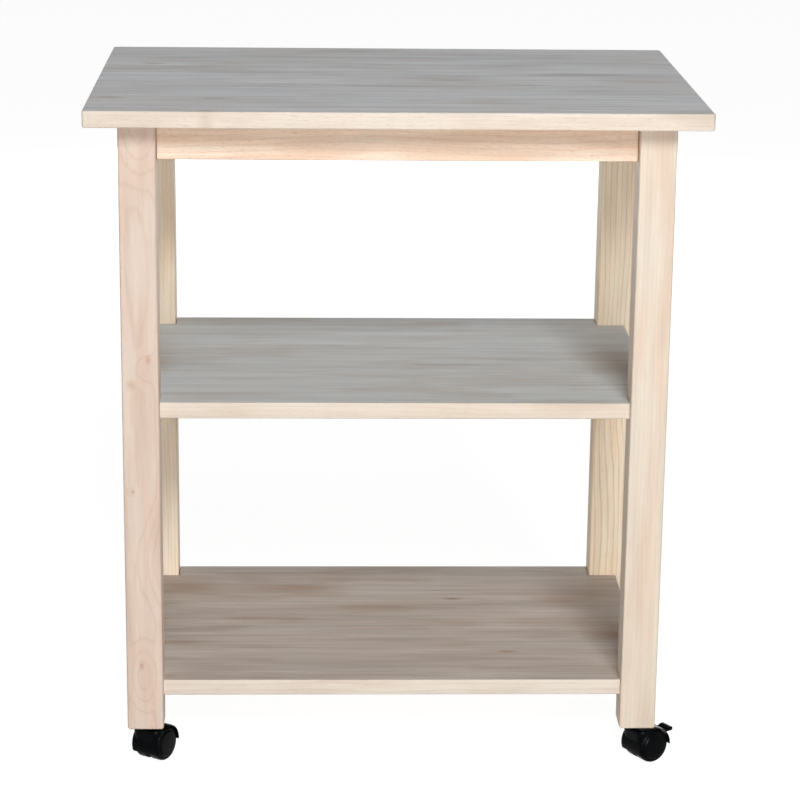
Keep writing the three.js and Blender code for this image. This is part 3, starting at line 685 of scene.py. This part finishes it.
LEVER_TRAVEL = 20                 # degrees from released to locked
PIVOT = (TRAIL + 6, AXLE_HEIGHT + 8.6)
PEDAL_WIDTH = 16
PEDAL_ROUND = 5.0                 # its corners, seen from above
PEDAL_START = 2.2                 # from the pivot to its root
PEDAL_REACH = 29.5                # and to its tip
PEDAL_UNDER = 0.9                 # from the pivot up to the underside, when level
PEDAL_SHEET = 2                   # thickness behind the lip
LIP_LENGTH = 12
LIP_HEIGHT = 4.6
LIP_RISE = 4                      # length of its slope behind
LIP_FALL = 3                      # and of the one at the tip
LIP_EASE = 4.0
TIP_HEIGHT = 1.6
PAD_RADIUS = 20.3                 # the heel's face towards the treads
HEEL_INNER = 19
HEEL_START = 12
HEEL_END = 40
HOOK_OUTER = 4.4
HOOK_BORE = 2.5
HOOK_START = 212
HOOK_END = 486
ARM_WIDTH = 5.2
ARM_AT_HOOK = (-37, 72)           # where the arm's two edges start, about the pivot
ARM_AT_HEEL = (15, 37)            # and where they end, about the axle
ARM_END_RADIUS = 20.9

STEM_RADIUS = 4
STEM_IN_LEG = 27
STEM_CHAMFER = 1.5
STEM_EASE = 0.3
SHOULDER_GAP = 0.3                # between the stem's shoulder and the hood
SPIGOT_RADIUS = 2                 # the part of the stem that is held in the hood
SPIGOT_HOLE = 2.3
SPIGOT_LENGTH = 12
RING_BULGE = 0.15                 # the grip ring on the stem
RING_FROM_END = 6
RING_HEIGHT = 3
SWIVEL_GAP = 2.1                  # between the hood and the socket's flange
FLANGE_RADIUS = 9.5
FLANGE_HEIGHT = 3.4
SOCKET_BORE = 4.3
SOCKET_RADIUS = 5.5
SOCKET_IN_LEG = 31
SOCKET_EASE = 0.6

# The angles of a quarter turn, in radians.
QUARTER_STEPS = 8
QUARTER = [math.pi / 2 * step / QUARTER_STEPS for step in range(QUARTER_STEPS + 1)]

about_axle = Matrix.Translation((TRAIL, 0, AXLE_HEIGHT)) @ Matrix.Rotation(-math.pi / 2, 4, "X")
about_pivot = Matrix.Translation((PIVOT[0], 0, PIVOT[1])) @ Matrix.Rotation(-math.pi / 2, 4, "X")


def rod(radius, bottom, top, matrix=Matrix.Identity(4)):
    """A plain cylinder about Z, moved by the matrix."""
    mesh = lathe("rod", [(0, bottom), (radius, bottom), (radius, top), (0, top)])
    mesh.transform(matrix)
    return mesh


def wheel_mesh():
    """A solid nylon wheel with a rounded shoulder, a groove and a raised disc with a sloping rim."""
    shoulder = [
        (AXLE_HEIGHT - SHOULDER_DROP * (1 - math.cos(a)), TREAD_WIDTH - SHOULDER_ROUND * (1 - math.sin(a)))
        for a in QUARTER
    ]
    inner_side = [
        (0, AXLE_IN_WHEEL), (AXLE_HOLE, AXLE_IN_WHEEL), (AXLE_HOLE, 0), (WHEEL_HUB, 0),
        (WHEEL_HUB, CUP_DEPTH), (CUP_RADIUS, CUP_DEPTH), (CUP_RADIUS, 0), (AXLE_HEIGHT, 0),
    ]
    disc = [
        (GROOVE_OUTER, TREAD_WIDTH - GROOVE_DEPTH), (GROOVE_INNER, TREAD_WIDTH - GROOVE_DEPTH),
        (DISC_FACE, TREAD_WIDTH + DISC_RISE), (0, TREAD_WIDTH + DISC_DOME),
    ]
    return metres(lathe("caster_wheel", eased([*inner_side, *shoulder, *disc], WHEEL_EASE)))


def nose_outline(inset):
    """The nose seen from above, rounded at its front corners and square over the axle."""
    half = HOOD_WIDTH / 2 - inset
    radius = NOSE_ROUND - inset
    centre = TRAIL - HOOD_RADIUS + inset + radius
    left = arc((centre, half - radius), radius, 90, 180, steps=10)
    right = arc((centre, radius - half), radius, 180, 270, steps=10)
    return [(TRAIL, -half), (TRAIL, half), *left, *right]


def brake_steps():
    """What a braked caster's hood has besides: the room and slot for a lever, and its journal."""
    low = AXLE_HEIGHT - FENDER_RADIUS
    high = AXLE_HEIGHT + FENDER_RADIUS
    front = TRAIL + WEB_END
    back = front + HOOD_RADIUS
    room = prism("room", [(front, low), (back, low), (back, high), (front, high)], 2 * TREAD_INNER)
    slot_side = [*arc(AXLE, SLOT_INNER, -SLOT_END, SLOT_END), *arc(AXLE, SLOT_OUTER, SLOT_END, -SLOT_END)]
    slot = prism("slot", slot_side, PEDAL_WIDTH + 2 * SLOT_GAP)
    neck_start = front - NECK_OVERLAP
    neck_low = PIVOT[1] - NECK_HALF
    neck_high = PIVOT[1] + NECK_HALF
    neck_side = [(neck_start, neck_low), (PIVOT[0], neck_low), (PIVOT[0], neck_high), (neck_start, neck_high)]
    neck = prism("neck", neck_side, 2 * WEB_HALF)
    journal = rod(JOURNAL_RADIUS, -WEB_HALF, WEB_HALF, about_pivot)
    return [("DIFFERENCE", room), ("DIFFERENCE", slot), ("UNION", neck), ("UNION", journal)]


def hood_mesh(braked):
    """The cover over both wheels: a barrel with a squarer nose that carries the stem."""
    half = HOOD_WIDTH / 2
    side = [
        (HOOD_RADIUS - HOOD_SIDE_DROP * (1 - math.sin(a)), half - HOOD_SIDE_ROUND * (1 - math.cos(a)))
        for a in QUARTER
    ]
    barrel = lathe("caster_hood", [(0, -half), *[(r, -h) for r, h in side], *reversed(side), (0, half)])
    barrel.transform(about_axle)
    levels = [(AXLE_HEIGHT - NOSE_EDGE_DROP, NOSE_EDGE)]
    for a in QUARTER:
        levels.append((HOOD_TOP - NOSE_EDGE_DROP * (1 - math.sin(a)), NOSE_EDGE * (1 - math.cos(a))))
    nose = loft("nose", [[(x, y, z) for x, y in nose_outline(inset)] for z, inset in levels])
    open_side = [AXLE, *arc(AXLE, 2 * HOOD_RADIUS, HOOD_FRONT_END, HOOD_REAR_END)]
    steps = [("UNION", nose), ("DIFFERENCE", prism("below", open_side, 2 * HOOD_WIDTH))]
    for way in (-1, 1):
        ends = sorted((way * WEB_HALF, way * HOOD_WIDTH))
        steps.append(("DIFFERENCE", rod(FENDER_RADIUS, *ends, about_axle)))
    steps.append(("UNION", rod(HOOD_HUB, -WEB_HALF, WEB_HALF, about_axle)))
    if braked:
        steps += brake_steps()
    steps.append(("DIFFERENCE", rod(SPIGOT_HOLE, HOOD_TOP - SPIGOT_LENGTH, HOOD_TOP + PAST)))
    steps.append(("DIFFERENCE", rod(AXLE_HOLE, -HALF_AXLE, HALF_AXLE, about_axle)))
    return metres(softened(combined(barrel, *steps), voxel=0.4, rounds=5))


def pedal_mesh():
    """The flat of the lever, as it lies when level, with the pivot at the origin."""
    sheet_top = PEDAL_UNDER + PEDAL_SHEET
    lip_top = PEDAL_UNDER + LIP_HEIGHT
    lip_foot = PEDAL_REACH - LIP_LENGTH
    top_line = eased([
        (PEDAL_START, sheet_top), (lip_foot, sheet_top), (lip_foot + LIP_RISE, lip_top),
        (PEDAL_REACH - LIP_FALL, lip_top), (PEDAL_REACH, PEDAL_UNDER + TIP_HEIGHT),
    ], LIP_EASE)
    side = [*top_line, (PEDAL_REACH, PEDAL_UNDER), (PEDAL_START, PEDAL_UNDER)]
    plan = []
    for turn, (sx, sy) in enumerate(((1, 1), (-1, 1), (-1, -1), (1, -1))):
        centre = (sx * (PEDAL_REACH - PEDAL_ROUND), sy * (PEDAL_WIDTH / 2 - PEDAL_ROUND))
        plan += arc(centre, PEDAL_ROUND, 90 * turn, 90 * turn + 90, steps=8)
    plan_solid = loft("plan", [[(x, y, z) for x, y in plan] for z in (-PEDAL_REACH, PEDAL_REACH)])
    return combined(prism("pedal", side, PEDAL_WIDTH), ("INTERSECT", plan_solid))


def lever_mesh():
    """A brake lever as it lies when locked: pedal, heel, arm and the hook on its journal."""
    pedal = pedal_mesh()
    pressed = Matrix.Rotation(math.radians(LEVER_TRAVEL), 4, "Y")
    pedal.transform(Matrix.Translation((PIVOT[0], 0, PIVOT[1])) @ pressed)
    heel_side = [*arc(AXLE, HEEL_INNER, HEEL_START, HEEL_END), *arc(AXLE, HOOD_RADIUS, HEEL_END, HEEL_START)]
    heel = prism("heel", heel_side, PEDAL_WIDTH)
    treads = rod(PAD_RADIUS, -PEDAL_WIDTH, PEDAL_WIDTH, about_axle)
    hook_side = [*arc(PIVOT, HOOK_OUTER, HOOK_START, HOOK_END), *arc(PIVOT, HOOK_BORE, HOOK_END, HOOK_START)]
    hook = prism("hook", hook_side, ARM_WIDTH)
    arm_root = arc(PIVOT, (HOOK_OUTER + HOOK_BORE) / 2, *ARM_AT_HOOK, steps=1)
    arm_end = arc(AXLE, ARM_END_RADIUS, *ARM_AT_HEEL, steps=1)
    arm = prism("arm", [arm_root[0], *arm_end, arm_root[1]], ARM_WIDTH)
    arm = combined(arm, ("DIFFERENCE", rod(HOOK_BORE, -HALF_AXLE, HALF_AXLE, about_pivot)))
    whole = combined(pedal, ("UNION", heel), ("DIFFERENCE", treads), ("UNION", arm), ("UNION", hook))
    whole.name = "brake_lever"
    return metres(softened(whole, voxel=0.3, rounds=4))


def stem_mesh():
    """A plated stem with its shoulder, its grip ring and a chamfered end."""
    shoulder = HOOD_TOP + SHOULDER_GAP
    bottom = shoulder - SPIGOT_LENGTH
    end = LEG_BOTTOM + STEM_IN_LEG
    ring_top = end - RING_FROM_END
    ring = [
        (STEM_RADIUS, ring_top - RING_HEIGHT), (STEM_RADIUS + RING_BULGE, ring_top - RING_HEIGHT / 2),
        (STEM_RADIUS, ring_top),
    ]
    profile = eased([
        (0, bottom), (SPIGOT_RADIUS, bottom), (SPIGOT_RADIUS, shoulder), (STEM_RADIUS, shoulder), *ring,
        (STEM_RADIUS, end - STEM_CHAMFER), (STEM_RADIUS - STEM_CHAMFER, end), (0, end),
    ], STEM_EASE)
    return metres(lathe("caster_stem", profile))


def socket_mesh():
    """The nylon sleeve of a stem, with a flange under the leg."""
    flange = HOOD_TOP + SWIVEL_GAP
    seat = flange + FLANGE_HEIGHT
    end = LEG_BOTTOM + SOCKET_IN_LEG
    profile = eased([
        (SOCKET_BORE, flange), (FLANGE_RADIUS, flange), (FLANGE_RADIUS, seat), (SOCKET_RADIUS, seat),
        (SOCKET_RADIUS, end), (SOCKET_BORE, end), (SOCKET_BORE, flange + PAST),
    ], SOCKET_EASE)
    return metres(lathe("stem_socket", profile))


def caster_place(corner):
    """Where a caster stands, from the places of its swivel and its axle."""
    swivel = Vector(joints[f"{corner}_swivel"]["pos_m"])
    trail = Vector(joints[f"{corner}_left_wheel_spin"]["pos_m"]) - swivel
    turn = Matrix.Rotation(math.atan2(trail.y, trail.x), 4, "Z")
    return Matrix.Translation((swivel.x, swivel.y, 0)) @ turn


wheel = wheel_mesh()
hoods = {True: hood_mesh(True), False: hood_mesh(False)}
lever = lever_mesh()
stem = stem_mesh()
socket = socket_mesh()
pivot = Matrix.Translation((PIVOT[0] * MM, 0, PIVOT[1] * MM))
lifted = pivot @ Matrix.Rotation(-math.radians(LEVER_TRAVEL), 4, "Y") @ pivot.inverted()

for corner in CORNERS:
    body = f"caster_{corner}"
    place = caster_place(corner)
    braked = f"brake_lever_{corner}" in nodes
    finished(stem, place, f"caster_stem_{corner}", "cart", zinc_steel)
    finished(socket, place, f"stem_socket_{corner}", "cart", black_nylon)
    finished(hoods[braked], place, f"caster_hood_{corner}", body, black_nylon)
    for hand, way in (("left", 1), ("right", -1)):
        centre = Matrix.Translation((TRAIL * MM, way * TREAD_INNER * MM, AXLE_HEIGHT * MM))
        outwards = Matrix.Rotation(-way * math.pi / 2, 4, "X")
        name = f"wheel_{hand}_{corner}"
        finished(wheel, place @ centre @ outwards, name, name, black_nylon)
    if braked:
        # A released lever's range ends at its place in the photo, so it starts below zero.
        released = joints[f"{corner}_brake"]["range_deg"][0] < 0
        place = place @ lifted if released else place
        finished(lever, place, f"brake_lever_{corner}", f"brake_{corner}", black_nylon)


# ---- Fastenings ----------------------------------------------------------------------------

# The hanger bolt, in mm, along Z from the inner corner of its leg.
BOLT_POINT = -34
BOLT_TAIL = 30
BOLT_TAPER = 6                    # length of its point
BOLT_APEX = 30.5                  # where the chamfer on its tail would come to a point
BOLT_CHAMFER = 1.5                # length of that chamfer up to there
BOLT_TIP_RADIUS = 0.5
THREAD_ROOT = 3.55
THREAD_SLOPE = 0.8                # how far the thread stands up is half of this
THREAD_PITCH = 1.25
THREAD_FACETS = 24
THREAD_STEP = 0.25                # along the bolt, from one ring of corners to the next


def bolt_mesh():
    """A threaded hanger bolt, from its point in the leg to its tail."""
    rings = []
    for row in range(int((BOLT_TAIL - BOLT_POINT) / THREAD_STEP) + 1):
        height = BOLT_POINT + row * THREAD_STEP
        taper = min(1, (height - BOLT_POINT) / BOLT_TAPER, (BOLT_APEX - height) / BOLT_CHAMFER)
        ring = []
        for i in range(THREAD_FACETS):
            phase = (height / THREAD_PITCH - i / THREAD_FACETS) % 1
            radius = max(BOLT_TIP_RADIUS, (THREAD_ROOT + THREAD_SLOPE * abs(phase - 0.5)) * taper)
            angle = math.tau * i / THREAD_FACETS
            ring.append((radius * math.cos(angle), radius * math.sin(angle), height))
        rings.append(ring)
    return metres(loft("hanger_bolt", rings))


bolt = bolt_mesh()
for corner in CORNERS:
    low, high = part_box(f"leg_{corner}")
    brace_low, brace_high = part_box(f"corner_brace_{corner}")
    side = math.copysign(1, low[0])
    end = math.copysign(1, low[1])
    inner = (min(low[0] * side, high[0] * side) * side, min(low[1] * end, high[1] * end) * end)
    inwards = Matrix.Rotation(math.atan2(-end, -side), 4, "Z") @ Matrix.Rotation(math.pi / 2, 4, "Y")
    middle = (brace_low[2] + brace_high[2]) / 2
    place = Matrix.Translation((inner[0], inner[1], middle)) @ inwards
    finished(bolt, place, f"hanger_bolt_{corner}", "cart", zinc_steel)
    nut = nodes[f"wing_nut_{corner}"].data.copy()
    nut.name = f"wing_nut_{corner}_cast"
    nut = softened(nut, voxel=0.4 * MM, rounds=4)
    finished(nut, Matrix.Identity(4), f"wing_nut_{corner}", "cart", zinc_steel)
    brace = sanded(f"corner_brace_{corner}")
    finished(brace, Matrix.Identity(4), f"corner_brace_{corner}", "cart", zinc_steel)


# ---- Floor, world and lamps ----------------------------------------------------------------

FLOOR_SIZE = 30           # m
FLOOR_CARD = "#D8D8D8"    # what the floor is to the light that it throws back
FLOOR_SHADED = "#909090"  # the part of what is seen of it that a shadow darkens
FLOOR_GLOW = 0.94         # and the part that none does
SURROUND_LIGHT = 0.06


def directly_seen(tree):
    """1 for what the camera, a reflection or a refraction sees, and 0 for light that falls on things."""
    path = tree.nodes.new("ShaderNodeLightPath").outputs
    camera_ray, glossy_ray = path["Is Camera Ray"], path["Is Glossy Ray"]
    seen = add(tree, "ShaderNodeMath", {0: camera_ray, 1: glossy_ray}, operation="MAXIMUM")
    return add(tree, "ShaderNodeMath", {0: seen, 1: path["Is Transmission Ray"]}, operation="MAXIMUM")


def make_floor():
    """A floor that throws back light like pale card, and is seen as white with faint shadows."""
    mesh = bpy.data.meshes.new("floor")
    half = FLOOR_SIZE / 2
    corners = [(-half, -half, 0), (half, -half, 0), (half, half, 0), (-half, half, 0)]
    mesh.from_pydata(corners, [], [(0, 1, 2, 3)])
    floor = new_object(mesh)
    material, tree = new_material("pale_floor")
    plain = add(tree, "ShaderNodeBsdfDiffuse", {"Color": linear(FLOOR_CARD)})
    shaded = add(tree, "ShaderNodeBsdfDiffuse", {"Color": linear(FLOOR_SHADED)})
    glow = add(tree, "ShaderNodeEmission", {"Color": linear("#FFFFFF"), "Strength": FLOOR_GLOW})
    white = add(tree, "ShaderNodeAddShader", {0: shaded, 1: glow})
    surface = add(tree, "ShaderNodeMixShader", {0: directly_seen(tree), 1: plain, 2: white})
    add(tree, "ShaderNodeOutputMaterial", {"Surface": surface})
    mesh.materials.append(material)


def make_world():
    """A white surround that gives little light of its own."""
    world = bpy.data.worlds.new("studio")
    bpy.context.scene.world = world
    world.use_nodes = True
    tree = world.node_tree
    tree.nodes.clear()
    lit = add(tree, "ShaderNodeBackground", {"Color": linear("#FFFFFF"), "Strength": SURROUND_LIGHT})
    white = add(tree, "ShaderNodeBackground", {"Color": linear("#FFFFFF"), "Strength": 1.0})
    surface = add(tree, "ShaderNodeMixShader", {0: directly_seen(tree), 1: lit, 2: white})
    add(tree, "ShaderNodeOutputWorld", {"Surface": surface})


def make_lamp(name, place, target, size, power, hex_colour="#FFFFFF"):
    """A soft rectangular lamp that faces a point, with places and sizes in m and its power in W."""
    data = bpy.data.lights.new(name, "AREA")
    data.shape = "RECTANGLE"
    data.size, data.size_y = size
    data.energy = power
    data.color = linear(hex_colour)[:3]
    lamp = bpy.data.objects.new(name, data)
    lamp.location = place
    aim = Vector(target) - Vector(place)
    lamp.rotation_euler = aim.to_track_quat("-Z", "Y").to_euler()
    lamp.visible_camera = False
    bpy.context.scene.collection.objects.link(lamp)
    return lamp


make_floor()
make_world()
make_lamp(
    "key_lamp", place=(0.5, -4.2, 3.2), target=(0, 0, 0.4), size=(1.4, 1.4), power=180, hex_colour="#F5FAFF",
)
make_lamp(
    "low_front_lamp", place=(0, -2.4, 0.15), target=(0, 0, 0.05), size=(2.4, 0.3), power=18,
    hex_colour="#FFF5E9",
)
# The casters gleam in this strip, which adds nothing to diffuse light.
gleam = make_lamp("gleam_lamp", place=(0.6, -3.4, 1.15), target=(0, 0, 0.03), size=(2.2, 0.5), power=110)
gleam.visible_diffuse = False
for way, side in ((-1, "left"), (1, "right")):
    make_lamp(
        f"{side}_back_lamp", place=(way * 1.0, 3.6, 0.3), target=(0, 0, 0.35), size=(1.6, 0.5), power=18,
    )
    make_lamp(
        f"{side}_side_lamp", place=(way * 4.2, -0.6, 1.0), target=(0, 0, 0.35), size=(1.6, 1.0), power=10,
    )

bpy.context.scene.view_settings.view_transform = "Standard"
